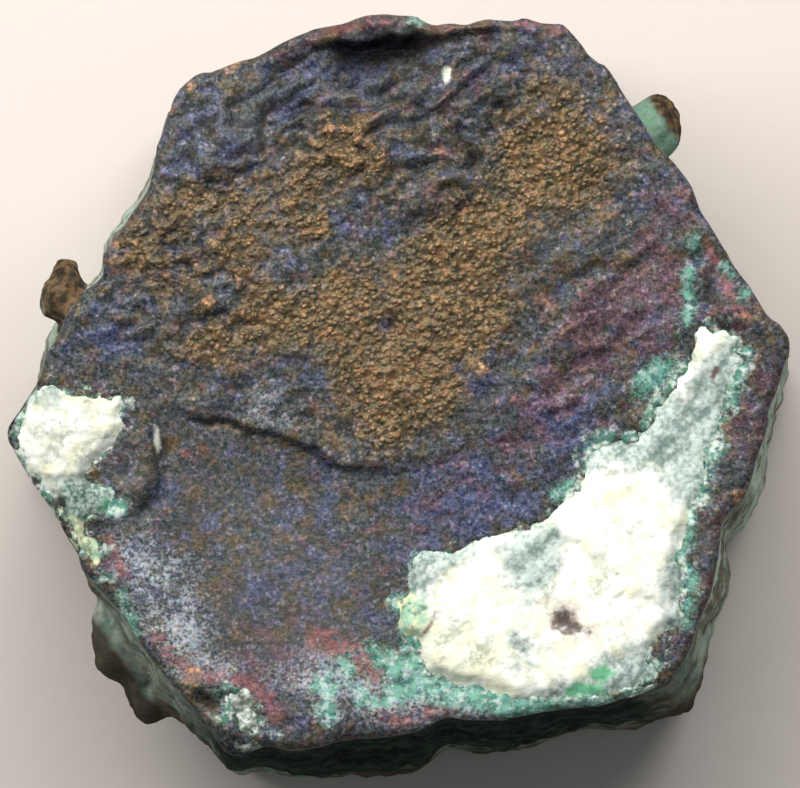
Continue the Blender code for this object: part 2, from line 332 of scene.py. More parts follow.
def creased(*where, **how):
    # rounded lumps with sharp creases between them, from 0 to about 1
    return np.abs(grained(*where, **how)) * 2


def grown(outline, amount):
    # an outline moved outwards by a number of pixels
    outline = np.asarray(outline, float)
    along = np.roll(outline, -1, 0) - np.roll(outline, 1, 0)
    out = np.stack([along[:, 1], -along[:, 0]], 1) / np.linalg.norm(along, axis=1)[:, None]
    return outline + out * amount


def scarp(spots, route, height, reach, drop):
    # ground raised on the upper side of a route, with a steep drop to its lower side
    distance, side, share = nearest(spots, route)
    over = distance * side
    ends = step(share, 0, 0.35) * step(1 - share, 0, 0.35)
    return height * ends * step(over, -drop, drop * 0.3) * np.exp(-np.maximum(over, 0) / reach)


def ridge(spots, route, height, width):
    distance, _, share = nearest(spots, route)
    ends = step(share, -0.05, 0.2) * step(1 - share, -0.05, 0.2)
    return height * ends * np.exp(-((distance / width) ** 2))


def mound(spots, u, v, radius, height):
    return height * np.exp(-((spots[:, 0] - u) ** 2 + (spots[:, 1] - v) ** 2) / radius**2)


# The edges of the face and of the white remnants on it, in pixels of the photograph
faceEdge = [
    (270, 48), (255, 56), (237, 60), (210, 71), (200, 70), (186, 81), (177, 90), (172, 101), (164, 126),
    (156, 146), (155, 158), (148, 189), (131, 212), (120, 231), (107, 246), (101, 258), (105, 275),
    (86, 288), (76, 301), (65, 314), (57, 336), (46, 353), (41, 372), (34, 389), (24, 405), (14, 417),
    (6, 428), (8, 442), (19, 455), (28, 475), (43, 498), (55, 513), (65, 534), (77, 547), (79, 563),
    (89, 578), (103, 592), (117, 608), (131, 628), (146, 652), (165, 676), (186, 700), (203, 718),
    (217, 740), (224, 752), (238, 757), (265, 745), (294, 751), (320, 747), (348, 738), (377, 738),
    (415, 732), (447, 716), (466, 720), (501, 720), (535, 713), (556, 709), (599, 706), (633, 695),
    (657, 683), (664, 685), (678, 670), (690, 649), (699, 621), (711, 594), (719, 554), (721, 525),
    (728, 512), (743, 500), (752, 477), (757, 457), (768, 427), (768, 408), (776, 393), (783, 369),
    (790, 348), (790, 338), (780, 324), (768, 317), (750, 286), (735, 267), (728, 255), (711, 226),
    (699, 208), (696, 196), (690, 182), (673, 160), (661, 150), (640, 117), (623, 92), (613, 74),
    (604, 63), (592, 61), (584, 46), (573, 33), (564, 23), (540, 22), (530, 18), (523, 17), (515, 20),
    (484, 18), (466, 25), (451, 22), (434, 25), (423, 21), (416, 15), (399, 15), (385, 13), (368, 14),
    (351, 19), (342, 23), (317, 27), (299, 34), (282, 41),
]
massEdge = [
    (691, 333), (698, 322), (707, 321), (714, 328), (724, 326), (731, 333), (739, 331), (744, 339),
    (741, 352), (745, 360), (740, 374), (736, 386), (730, 398), (725, 410), (723, 428), (721, 443),
    (712, 452), (706, 461), (708, 478), (706, 494), (694, 508), (692, 522), (687, 535), (682, 548),
    (678, 558), (684, 566), (687, 577), (684, 592), (685, 608), (687, 618), (673, 628), (660, 640),
    (652, 650), (657, 673), (654, 683), (633, 692), (610, 697), (585, 702), (560, 703), (535, 702),
    (512, 699), (489, 694), (460, 688), (445, 681), (425, 671), (420, 655), (418, 641), (404, 639),
    (396, 630), (398, 615), (396, 602), (405, 590), (404, 572), (409, 556), (422, 551), (437, 549),
    (452, 549), (466, 545), (477, 536), (490, 531), (502, 531), (520, 527), (540, 520), (547, 510),
    (556, 503), (566, 496), (574, 490), (582, 476), (580, 462), (585, 450), (602, 443), (620, 438),
    (633, 434), (643, 425), (650, 417), (655, 405), (662, 396), (670, 386), (680, 372), (690, 357),
    (694, 345),
]
patchEdge = [
    (41, 383), (53, 381), (62, 388), (74, 393), (88, 392), (98, 391), (110, 394), (120, 393), (127, 399),
    (127, 406), (123, 413), (126, 424), (123, 438), (112, 448), (107, 458), (96, 465), (91, 475),
    (102, 482), (110, 485), (117, 503), (107, 515), (94, 520), (86, 524), (90, 533), (103, 541),
    (104, 556), (101, 566), (106, 580), (97, 578), (88, 560), (78, 546), (70, 533), (62, 518), (50, 500),
    (37, 482), (27, 466), (18, 450), (12, 437), (14, 424), (24, 410), (33, 396),
]
clumpEdge = [
    (222, 697), (228, 689), (238, 686), (248, 689), (254, 699), (262, 704), (267, 718), (266, 732),
    (258, 741), (246, 740), (236, 735), (234, 724), (227, 716),
]

prism = {
    "skin": 0.186,  # the mesh's step, in millimetres
    "face": 11.25,  # the height of most of the upper face, in millimetres
    "hollows": [(massEdge, 0.8), (patchEdge, 0.6), (clumpEdge, 0.5)],  # outline, depth in millimetres
    # degrees round the prism, and how far the wall stands out past the face's edge, in millimetres
    "bulges": [
        (-47, 0.95), (-39, 0.45), (-20, 0.42), (4, 0.05), (35, -0.05), (66, -0.2), (98, -0.3),
        (123, 0.05), (148, 0.5), (170, 0.5), (183, -0.1), (205, -0.1), (212, 0.2), (221, 0.6),
        (232, 0.65), (241, 0.35), (250, 0.5), (262, 0.95), (279, 0.95), (300, 0.5),
    ],
    "twinGrooves": [43, 84, 156, 226, 278, 337],  # degrees round the prism
    # millimetres on the walls
    "grooveDepth": 0.28,
    "fluteDepth": 0.07,
    "layerDepth": 0.02,
    "plateRise": 0.06,
    "roughness": 0.08,
    # degrees round the prism, and how much painted shade the wall gets: 1 is black, below 0 is pale with
    # painted light
    "wallShade": [
        (-53, 0.9), (-46, 0.1), (-34, -0.6), (0, -0.5), (30, 0.2), (60, 0.4), (120, 0.2), (146, -0.45),
        (166, -0.5), (186, -0.1), (200, -0.1), (226, -0.1), (238, 0.6), (248, 1), (300, 1),
    ],
    "knobRoughness": 0.12,
    "bareKnobs": 2,  # the first ones are bare copper, the others crusted
    # middle and radii in millimetres, degrees turned
    "knobs": [
        ((-10.62, 3.4, 8.9), (0.55, 1.05, 1.2), -28),
        ((8.1, 8.65, 7.7), (1.0, 1.1, 1.4), -35),
        ((-8.5, -7.7, 5.3), (0.78, 1.7, 1.9), 31),
        ((-7.75, -8.8, 4.8), (0.78, 0.95, 1.5), 40),
    ],
}

relief = {
    # parts of the face with their own roughness: u, v, radius, strength
    "upper": [(240, 120, 90, 1), (400, 110, 90, 1), (500, 80, 60, 0.8), (440, 180, 50, 0.7)],
    "left": [(170, 250, 80, 0.9), (230, 300, 60, 0.6), (140, 320, 50, 0.5)],
    "right": [(620, 240, 80, 1), (600, 330, 90, 0.8), (540, 420, 80, 0.5), (700, 290, 50, 0.8)],
    "lowerPlate": [(230, 520, 110, 1), (360, 560, 100, 1), (240, 620, 80, 0.8)],
    "drop": 3.5,  # the width of a scarp's steep side, in pixels
    # route, height, reach: the upper side stands above the lower
    "scarps": [
        ([(258, 68), (285, 62), (305, 51), (322, 42), (345, 40), (380, 37), (404, 34), (428, 36),
          (446, 33), (470, 28), (500, 27), (530, 29), (556, 33), (568, 40)], 0.55, 70),
        ([(158, 170), (185, 181), (205, 175), (222, 168), (245, 167), (262, 160), (280, 145)], 0.2, 26),
        ([(108, 299), (117, 307), (130, 309), (142, 300)], 0.16, 12),
        ([(106, 315), (121, 322), (138, 323), (150, 312)], 0.14, 12),
        ([(168, 318), (185, 310), (197, 313), (208, 319), (218, 308), (232, 300), (256, 296)], 0.2, 16),
        ([(154, 340), (167, 350), (178, 357), (194, 364)], 0.14, 14),
        ([(268, 358), (297, 354), (325, 353)], 0.08, 10),
        ([(140, 402), (182, 411), (190, 418), (210, 420), (226, 419), (238, 423), (255, 429), (274, 429),
          (296, 443), (315, 446), (330, 460), (346, 464), (400, 470), (450, 466)], 0.3, 60),
        ([(335, 462), (368, 467), (403, 457), (437, 462), (461, 444), (489, 431), (506, 405), (530, 392)],
         0.1, 40),
        ([(405, 124), (418, 118), (430, 108), (446, 97), (460, 86), (474, 74)], 0.24, 18),
        ([(474, 132), (487, 116), (498, 99), (515, 92), (530, 92)], 0.2, 16),
        ([(452, 138), (462, 147), (478, 160), (492, 157)], 0.22, 14),
        ([(398, 206), (415, 213), (432, 210), (444, 196)], 0.18, 16),
        ([(362, 182), (376, 177), (390, 167)], 0.18, 12),
        ([(474, 184), (490, 180), (500, 174)], 0.12, 12),
        ([(532, 270), (552, 258), (578, 248), (602, 236), (627, 226), (650, 210), (672, 200)], 0.08, 12),
        ([(556, 276), (578, 272), (592, 261), (602, 254), (618, 245), (640, 231)], 0.1, 12),
        ([(580, 293), (599, 284), (614, 277), (626, 264), (642, 250), (668, 236)], 0.09, 12),
        ([(510, 284), (531, 294), (548, 289), (566, 280)], 0.1, 10),
        ([(540, 312), (566, 314), (590, 303), (626, 296)], 0.08, 9),
        ([(520, 336), (560, 330), (600, 322), (640, 316)], 0.07, 9),
        ([(560, 358), (590, 350), (620, 346), (650, 333)], 0.08, 9),
        ([(500, 380), (540, 384), (580, 372), (620, 366)], 0.08, 9),
        ([(480, 412), (520, 404), (560, 408), (600, 392)], 0.08, 9),
        ([(455, 446), (500, 438), (540, 434), (580, 420)], 0.07, 9),
        ([(440, 474), (480, 470), (520, 458), (560, 452)], 0.06, 9),
    ],
    # route, height, width
    "ridges": [
        ([(330, 50), (380, 49), (432, 45)], -0.32, 9),
        ([(462, 112), (475, 99), (488, 90), (497, 78)], 0.1, 7),
        ([(190, 150), (225, 135), (262, 122)], 0.1, 14),
        ([(200, 110), (235, 98), (265, 86)], 0.07, 12),
        ([(286, 118), (296, 106), (306, 98)], -0.12, 9),
        ([(155, 424), (160, 446), (161, 468), (160, 491), (148, 506), (134, 520)], -0.2, 7),
        ([(126, 420), (138, 445), (142, 475), (130, 505)], 0.22, 16),
        ([(195, 695), (210, 700), (230, 698)], -0.25, 6),
        ([(186, 416), (205, 421), (228, 421), (246, 427)], -0.2, 4),
        ([(205, 712), (225, 728), (240, 742)], 0.12, 8),
        ([(690, 260), (705, 250), (722, 268), (735, 290)], -0.16, 12),
        ([(748, 300), (770, 330), (778, 350)], 0.1, 12),
        ([(700, 240), (696, 280), (694, 315)], -0.1, 5),
        ([(118, 548), (128, 570), (150, 600)], 0.1, 12),
    ],
    # u, v, radius, height
    "mounds": [
        (332, 128, 5, 0.17), (344, 128, 5, 0.17), (358, 139, 5, 0.17), (367, 142, 5, 0.15),
        (313, 140, 5, 0.15), (333, 154, 5, 0.17), (322, 159, 5, 0.14), (361, 160, 6, 0.16),
        (387, 157, 6, 0.18), (382, 166, 5, 0.14), (375, 118, 8, 0.1), (395, 133, 8, 0.1),
        (327, 138, 5, -0.08), (296, 108, 7, -0.1), (205, 298, 10, 0.18), (240, 282, 12, 0.12),
        (284, 262, 14, 0.1), (390, 323, 9, -0.14), (482, 372, 14, 0.12), (319, 230, 9, 0.1),
        (532, 217, 8, -0.1), (545, 111, 12, 0.06), (270, 404, 10, 0.12), (726, 320, 12, 0.2),
        (447, 75, 8, 0.1), (564, 88, 9, 0.08), (508, 92, 9, -0.12), (705, 300, 8, -0.15),
        (720, 252, 7, -0.1),
    ],
}

# Patches of colour on the face, in pixels: closed outlines, and streaks as a route and its half width
tints = {
    "green": (
        [
            [(640, 372), (652, 360), (668, 356), (676, 362), (670, 376), (656, 388), (646, 398),
             (634, 398), (632, 384)],
            [(380, 646), (390, 644), (398, 654), (412, 654), (424, 662), (426, 674), (408, 672),
             (396, 664), (384, 660)],
            [(310, 678), (326, 674), (342, 678), (342, 688), (336, 702), (338, 716), (328, 724),
             (318, 714), (320, 698), (310, 688)],
            [(117, 594), (126, 592), (134, 606), (136, 622), (140, 634), (131, 632), (122, 616)],
        ],
        [
            ([(694, 236), (697, 246), (695, 258)], 5),
            ([(690, 272), (692, 286), (688, 298)], 6),
            ([(690, 308), (688, 320)], 6),
            ([(724, 266), (730, 274)], 4),
            ([(738, 300), (746, 294)], 3),
            ([(394, 690), (420, 684), (455, 692), (500, 699), (545, 706)], 14),
            ([(346, 660), (352, 684), (372, 700), (400, 704)], 5),
            ([(372, 652), (384, 664), (400, 672)], 9),
            ([(404, 650), (412, 640), (408, 620), (400, 600)], 4),
            ([(560, 706), (600, 702), (640, 694)], 5),
            ([(676, 560), (690, 546)], 4),
            ([(360, 698), (372, 697)], 6),
            ([(412, 22), (422, 23)], 5),
            ([(700, 444), (712, 452), (704, 470)], 5),
            ([(728, 404), (738, 376), (748, 350)], 4),
            ([(684, 500), (692, 520), (684, 545)], 5),
            ([(684, 560), (692, 590), (686, 622)], 5),
            ([(556, 492), (566, 486)], 5),
            ([(108, 512), (122, 506)], 3),
        ],
    ),
    "salmon": (
        [
            [(300, 634), (330, 628), (352, 636), (368, 652), (392, 684), (400, 694), (384, 692),
             (362, 674), (340, 658), (312, 648)],
        ],
        [
            ([(160, 642), (176, 660), (194, 674), (222, 676), (248, 682), (268, 696), (276, 716)], 7),
            ([(330, 29), (370, 21), (410, 24), (450, 29)], 4),
            ([(385, 716), (402, 720), (420, 712), (446, 712), (458, 716)], 7),
            ([(700, 236), (708, 246), (716, 262), (726, 282), (732, 300), (746, 316)], 6),
            ([(518, 22), (540, 24), (562, 30)], 4),
            ([(108, 540), (114, 556), (124, 576)], 6),
            ([(178, 456), (190, 451), (202, 448)], 1.5),
        ],
    ),
    "frost": (
        [
            [(117, 542), (140, 540), (165, 552), (188, 572), (200, 600), (202, 630), (196, 655),
             (172, 655), (152, 628), (136, 596), (122, 568)],
            [(264, 398), (276, 404), (278, 418), (268, 420), (258, 408)],
        ],
        [([(180, 662), (204, 664), (224, 672)], 7),
         ([(300, 676), (350, 690), (400, 706), (470, 714)], 17)],
    ),
    "whiteFilm": (
        [
            [(442, 68), (446, 64), (451, 68), (450, 80), (446, 86), (443, 78)],
            [(154, 424), (158, 428), (161, 448), (157, 454), (153, 440)],
        ],
        [],
    ),
}

# Soft washes on the face: u, v, radius and strength
washes = {
    "warm": [
        (555, 140, 48, 1), (592, 160, 30, 0.7), (522, 150, 26, 0.7), (548, 88, 18, 0.5),
        (560, 190, 34, 0.5), (510, 205, 30, 0.6), (476, 230, 42, 0.9), (446, 280, 50, 1),
        (422, 335, 52, 1), (400, 385, 44, 1), (385, 430, 30, 0.6), (480, 320, 36, 0.6),
        (450, 395, 34, 0.5), (350, 290, 34, 0.7), (330, 318, 36, 0.8), (280, 322, 34, 0.8),
        (222, 340, 30, 0.8), (190, 350, 22, 0.4), (350, 375, 26, 0.6), (182, 205, 34, 0.7),
        (134, 245, 26, 0.7), (240, 195, 40, 0.6), (310, 185, 36, 0.7), (345, 140, 36, 0.8),
        (376, 165, 22, 0.5), (232, 250, 32, 0.6), (258, 288, 24, 0.5), (175, 275, 34, 0.5),
        (320, 228, 14, 0.8), (295, 225, 22, 0.4), (622, 262, 20, 0.3), (600, 210, 24, 0.2),
        (640, 190, 16, 0.2), (545, 290, 24, 0.2), (150, 330, 18, 0.2), (320, 430, 40, 0.15),
        (205, 560, 14, 0.3), (232, 516, 14, 0.3), (206, 228, 16, -0.4), (285, 264, 15, -0.5),
        (224, 288, 11, -0.5), (328, 256, 10, -0.4), (356, 216, 24, -0.5), (375, 238, 14, -0.4),
        (390, 325, 9, -0.6), (455, 365, 11, -0.5), (482, 382, 12, -0.6), (532, 215, 10, -0.4),
        (300, 378, 30, -0.3), (545, 110, 9, -0.6), (170, 165, 24, -0.4), (240, 135, 36, -0.3),
        (290, 108, 26, -0.3), (500, 450, 60, -0.4), (110, 340, 24, -0.3), (430, 515, 50, -0.4),
        (640, 330, 40, -0.3), (370, 60, 40, -0.4),
    ],
    "glint": [
        (171, 108, 7, 1), (191, 84, 8, 1), (226, 65, 9, 1), (240, 60, 6, 0.8), (320, 228, 7, 0.6),
        (745, 315, 7, 0.8), (768, 430, 8, 0.5), (738, 495, 8, 0.7), (207, 300, 8, 0.8),
        (564, 128, 12, 0.6), (468, 204, 14, 0.6), (510, 245, 10, 0.5), (478, 368, 10, 0.8),
        (332, 128, 6, 0.8), (344, 129, 6, 0.7), (358, 139, 6, 0.7), (367, 142, 6, 0.7),
        (333, 154, 6, 0.7), (361, 160, 7, 0.6), (387, 157, 7, 0.7), (441, 148, 7, 0.7),
        (116, 250, 10, 0.6), (395, 362, 24, 0.4), (455, 260, 20, 0.4), (230, 182, 10, 0.5),
        (270, 302, 12, 0.5), (195, 674, 9, 1.2),
    ],
    "blue": [
        (100, 330, 26, 0.9), (120, 352, 28, 0.4), (170, 490, 30, 0.4), (205, 520, 22, 0.6),
        (160, 510, 14, 0.3), (330, 480, 30, 0.3), (290, 560, 60, 0.35), (430, 525, 44, 0.9),
        (500, 512, 40, 0.8), (550, 425, 24, 0.9), (535, 405, 20, 0.5), (480, 480, 50, 0.4),
        (585, 425, 40, 0.6), (600, 380, 50, 0.3), (650, 340, 30, 0.4), (660, 200, 24, 0.6),
        (680, 260, 24, 0.3), (360, 66, 40, 0.8), (450, 60, 40, 0.4), (520, 50, 40, 0.3),
        (340, 580, 50, 0.4), (270, 500, 30, 0.2), (230, 160, 40, 0.4), (170, 165, 26, 0.4),
        (300, 80, 40, 0.5), (130, 570, 24, 0.4), (290, 690, 30, 0.5), (300, 375, 30, 0.3),
        (355, 220, 26, 0.4), (580, 70, 20, 0.4), (410, 600, 40, 0.3), (250, 600, 40, 0.2),
        (200, 110, 30, 0.4), (380, 330, 10, 0.6), (484, 384, 14, 0.8), (390, 325, 10, 0.6),
        (285, 264, 14, 0.6),
    ],
    "maroon": [
        (300, 660, 46, 0.6), (240, 650, 36, 0.4), (112, 560, 14, 0.9), (560, 310, 34, 0.4),
        (620, 300, 44, 0.9), (660, 270, 34, 0.7), (590, 345, 40, 0.8), (560, 390, 36, 0.7),
        (675, 215, 26, 0.6), (530, 430, 40, 0.7), (470, 480, 40, 0.6), (420, 520, 30, 0.5),
        (640, 242, 14, 0.7), (640, 340, 30, 0.5), (430, 88, 24, 0.5), (441, 150, 16, 0.8),
        (425, 190, 24, 0.5), (475, 70, 30, 0.4), (520, 60, 30, 0.4), (700, 290, 26, 0.5),
        (735, 320, 20, 0.6), (765, 380, 26, 0.9), (755, 430, 26, 0.9), (728, 520, 24, 0.8),
        (710, 590, 24, 0.8), (690, 645, 20, 0.6), (270, 715, 30, 0.4), (150, 640, 20, 0.5),
        (280, 45, 30, 0.3), (340, 30, 30, 0.5), (190, 452, 12, 0.5), (336, 508, 8, 0.8),
        (360, 190, 24, 0.3), (670, 190, 24, 0.4), (258, 156, 8, 0.5), (400, 720, 40, 0.5),
        (95, 385, 16, 0.4), (150, 400, 16, 0.3),
    ],
    # a paler tone on the lower plate, and painted light on the lip's top
    "paleAndLit": [
        (220, 520, 70, 0.8), (330, 570, 70, 0.8), (250, 620, 60, 0.8), (420, 540, 40, 0.4),
        (330, 640, 50, 0.5), (350, 24, 16, 1), (400, 26, 18, 1), (450, 26, 16, 1), (500, 26, 16, 1),
        (545, 30, 14, 1), (355, 142, 30, 1), (708, 545, 22, 1), (132, 480, 16, 1), (390, 60, 60, 0.5),
        (235, 125, 50, 0.5),
    ],
    # painted shadows: darkening painted into grooves, pits and under the lip's overhang
    "shade": [
        (415, 118, 10, 0.6), (500, 95, 14, 0.5), (470, 152, 12, 0.8), (420, 207, 12, 0.5),
        (300, 108, 12, 0.5), (198, 696, 7, 0.7), (210, 700, 8, 0.8), (224, 699, 7, 0.7),
        (230, 742, 18, 0.7), (345, 56, 22, 0.9), (380, 52, 24, 1.0), (415, 46, 20, 0.9),
        (726, 321, 10, 0.9), (98, 518, 9, 0.9), (155, 500, 10, 0.5), (10, 428, 12, 0.6),
        (714, 300, 9, 0.5), (708, 284, 8, 0.6), (275, 75, 12, 0.6), (290, 58, 12, 0.7),
        (448, 190, 10, 0.4), (600, 358, 8, 0.5), (552, 412, 8, 0.7), (486, 120, 8, 0.5),
        (480, 382, 8, 0.4), (390, 322, 7, 0.5),
    ],
}


def bulgeAt(degrees):
    bulges = np.array(prism["bulges"])
    return np.interp(degrees, bulges[:, 0], bulges[:, 1], period=360)


def edgeRadius(degrees, smoothing):
    # the face edge's distance from the middle, in each direction, in metres
    turns = np.arange(0, 360, 0.25)
    edge = np.array([at(u, v) for u, v in faceEdge])
    angles = np.degrees(np.arctan2(edge[:, 1], edge[:, 0]))
    order = np.argsort(angles)
    radii = np.interp(turns, angles[order], np.linalg.norm(edge, axis=1)[order], period=360)
    if smoothing:
        reach = np.arange(-60, 61)
        weights = np.exp(-((reach * 0.25 / smoothing) ** 2))
        radii = sum(np.roll(radii, r) * w for r, w in zip(reach, weights)) / weights.sum()
    return np.interp(degrees, turns, radii, period=360)


def shapeWalls(points):
    # bulges, twin grooves, flutes and copper plates on the walls
    height = points[:, 2] / mm
    degrees = np.degrees(np.arctan2(points[:, 1], points[:, 0]))
    radius = np.linalg.norm(points[:, :2], axis=1)
    fine = edgeRadius(degrees, 0)
    smooth = edgeRadius(degrees, 2.2)
    depth = np.maximum(fine - radius, 0) / mm
    near = np.exp(-((depth / 1.6) ** 2))
    under = step(prism["face"] - height, 0.1, 1.6)
    waist = step(prism["face"] - height, 0.2, 5.5) * (0.72 + 0.28 * step(height, 0.0, 2.5))
    off = np.full(len(points), 360.0)
    for groove in prism["twinGrooves"]:
        off = np.minimum(off, np.abs((degrees - groove + 180) % 360 - 180))
    grooves = prism["grooveDepth"] * (1 - step(off, 0.4, 4.5))
    flutes = creased(points, 1.3, 3, stretch=(1, 1, 8)) * prism["fluteDepth"] - 0.03
    layers = grained(points, 2.2, 2, stretch=(6, 6, 1), shift=7) * prism["layerDepth"]
    plates = step(grained(points, 0.4, 4, stretch=(1, 1, 1.7), shift=21), 0.0, 0.3)
    rough = grained(points, 0.8, 4, shift=4) * prism["roughness"]
    skin = flutes + layers + rough + prism["plateRise"] * plates - 0.05
    out = waist * (bulgeAt(degrees) - grooves) + under * skin
    chip = step(0.9 - height, 0, 0.9) * (0.35 + 0.25 * grained(points, 0.6, 2, shift=11))
    change = near * (out * mm + under * (smooth - fine) - chip * mm)
    moved = points.copy()
    moved[:, :2] *= (1 + change / np.maximum(radius, mm))[:, None]
    outer = depth < 0.6
    return moved, np.where(outer, plates * under, 0), np.where(outer, (flutes + rough + layers) * under, 0)


def faceHeight(points, spots):
    # the relief of the upper face, in millimetres over its level
    bronze = step(washed(spots, washes["warm"]), 0.1, 0.6)
    areas = ("upper", "left", "right", "lowerPlate")
    upper, left, right, plate = [washed(spots, relief[area]) for area in areas]
    edge = step(depthIn(spots, faceEdge), 30, 4)
    flat = points * (1, 1, 0)
    height = grained(flat, 0.22, 2) * 0.14
    height += grained(flat, 0.7, 3, degrees=36, stretch=(1.5, 1, 1), shift=1) * 0.22 * upper
    height += creased(flat, 1.25, 2, degrees=36, stretch=(1.4, 1, 1)) * 0.2 * upper
    height += creased(flat, 1.4, 2, degrees=22, stretch=(1.4, 1, 1), shift=3) * 0.18 * left
    height += grained(flat, 1.0, 2, degrees=34, stretch=(2.4, 1, 1), shift=5) * 0.17 * right
    height += grained(flat, 1.7, 3, degrees=10, stretch=(1.3, 1, 1), shift=9) * (0.075 - 0.06 * plate)
    height += creased(flat, 3.4, 2, shift=12) * (0.022 + 0.05 * bronze - 0.015 * plate + 0.05 * edge)
    bent = spots + np.stack([grained(flat, 2.0, 2, shift=31), grained(flat, 2.0, 2, shift=47)], 1) * 4
    broken = step(grained(flat, 1.1, 2, shift=60), -0.5, 0.2) * 0.6 + 0.4
    for route, rise, reach in relief["scarps"]:
        height += scarp(bent, route, rise, reach, relief["drop"]) * broken
    for route, rise, width in relief["ridges"]:
        height += ridge(bent, route, rise, width)
    for u, v, radius, rise in relief["mounds"]:
        height += mound(spots, u, v, radius, rise)
    return height - 0.22 * plate - 0.12


def nearKnobs(points):
    # 1 on the bare copper knobs, 0 a little way off
    share = np.zeros(len(points))
    for middle, radii, _ in prism["knobs"][:prism["bareKnobs"]]:
        off = (points / mm - middle) / (np.array(radii) * 1.25)
        share = np.maximum(share, step(np.linalg.norm(off, axis=1), 1.25, 0.95))
    return share


def buildPrism():
    face = prism["face"] * mm
    piece = startSolid("copperPrism", faceEdge, face, 0.0)
    for middle, radii, degrees in prism["knobs"]:
        bpy.ops.object.select_all(action="DESELECT")
        bpy.ops.mesh.primitive_ico_sphere_add(
            subdivisions=4, radius=mm, location=[m * mm for m in middle],
            rotation=(0, 0, math.radians(degrees)), scale=radii)
        knob = bpy.context.active_object
        for vertex in knob.data.vertices:
            swell = noise.noise(vertex.co / mm * 1.7 + Vector(middle))
            vertex.co *= 1 + prism["knobRoughness"] * swell
        piece.select_set(True)
        bpy.context.view_layer.objects.active = piece
        bpy.ops.object.join()
    remesh(piece, prism["skin"])
    divideTop(piece, face - 0.05 * mm)
    points = pointsOf(piece)
    onFace = step(points[:, 2], face - 0.75 * mm, face - 0.1 * mm)
    points, plates, dents = shapeWalls(points)
    spots = pixelsOf(points)
    degrees = np.degrees(np.arctan2(points[:, 1], points[:, 0]))
    rise = np.zeros(len(points))
    top = onFace > 0
    rise[top] = faceHeight(points[top], spots[top])
    edge = depthIn(spots, faceEdge)
    rise -= 0.1 * (1 - step(edge, 0, 9))
    for outline, sink in prism["hollows"]:
        ragged = grained(points[top], 2.4, 3, shift=33) * 9
        inside = step(depthIn(spots[top], outline) + ragged, 3, 13)
        rise[top] = rise[top] * (1 - inside) - sink * inside
    points[:, 2] += rise * onFace * mm
    points[:, 2] = np.clip(points[:, 2], 0, cadHigh.z - 0.01 * mm)
    putPoints(piece, points)
    lift = np.where(top, overNeighbours(piece, points[:, 2] / mm, 12), 0.0)
    keep(piece, "onFace", onFace)
    keep(piece, "plates", plates)
    keep(piece, "dents", dents)
    keep(piece, "drop", (face - points[:, 2]) / mm)
    keep(piece, "lift", lift)
    keep(piece, "fringe", deepest(spots, ([massEdge, patchEdge, clumpEdge], [])))
    keep(piece, "shadeByAngle", np.interp(degrees, *np.array(prism["wallShade"]).T, period=360))
    keep(piece, "knob", nearKnobs(points))
    reach = np.linalg.norm(points[:, :2], axis=1) - edgeRadius(degrees, 2.2)
    keep(piece, "jut", reach / mm)
    for name, outlines in tints.items():
        keep(piece, name, deepest(spots, outlines))
    for name, blobs in washes.items():
        keep(piece, name, washed(spots, blobs))
    choose(piece)
    bpy.ops.object.shade_smooth()
    return piece


copperColours = {
    # the face, dark and light
    "slate": ((37, 43, 47), (84, 90, 95)),
    "olive": ((48, 44, 30), (94, 86, 62)),
    "blue": ((40, 48, 76), (92, 102, 138)),
    "maroon": ((60, 40, 50), (116, 86, 96)),
    "gold": ((82, 62, 38), (140, 112, 74)),
    "bronze": ((52, 48, 36), (116, 104, 80)),
    "frost": ((140, 150, 172), (196, 208, 210)),
    "salmon": ((84, 44, 48), (164, 108, 104)),
    "jade": ((64, 112, 102), (116, 172, 156)),
    "fringe": ((72, 126, 110), (204, 218, 210)),
    "paleSlate": (118, 122, 128),
    # painted highlight dots on the slate
    "slateHighlight": (186, 184, 184),
    "orange": (150, 108, 68),
    # painted highlight on the granules' tops
    "granuleTop": (168, 140, 100),
    # painted highlight dots on the bronze
    "bronzeHighlight": (214, 162, 112),
    "glint": (222, 168, 128),
    "paleJade": (180, 208, 202),
    "whiteFilm": (220, 226, 214),
    # the walls and the knobs
    "crust": ((98, 112, 102), (160, 172, 162)),
    "bare": ((44, 38, 32), (112, 88, 60)),
    "malachite": ((50, 96, 80), (140, 172, 156)),
    # painted shade: the near-black colour of walls that face away from the light
    "wallShade": ((12, 20, 17), (44, 62, 52)),
    "knobFoot": ((74, 118, 98), (140, 164, 146)),
    "outermost": ((34, 30, 26), (72, 62, 48)),
    "lines": (76, 86, 74),
    # painted light: a paler crust on some walls
    "litCrust": (178, 198, 184),
    "brownInShade": (44, 36, 28),
}


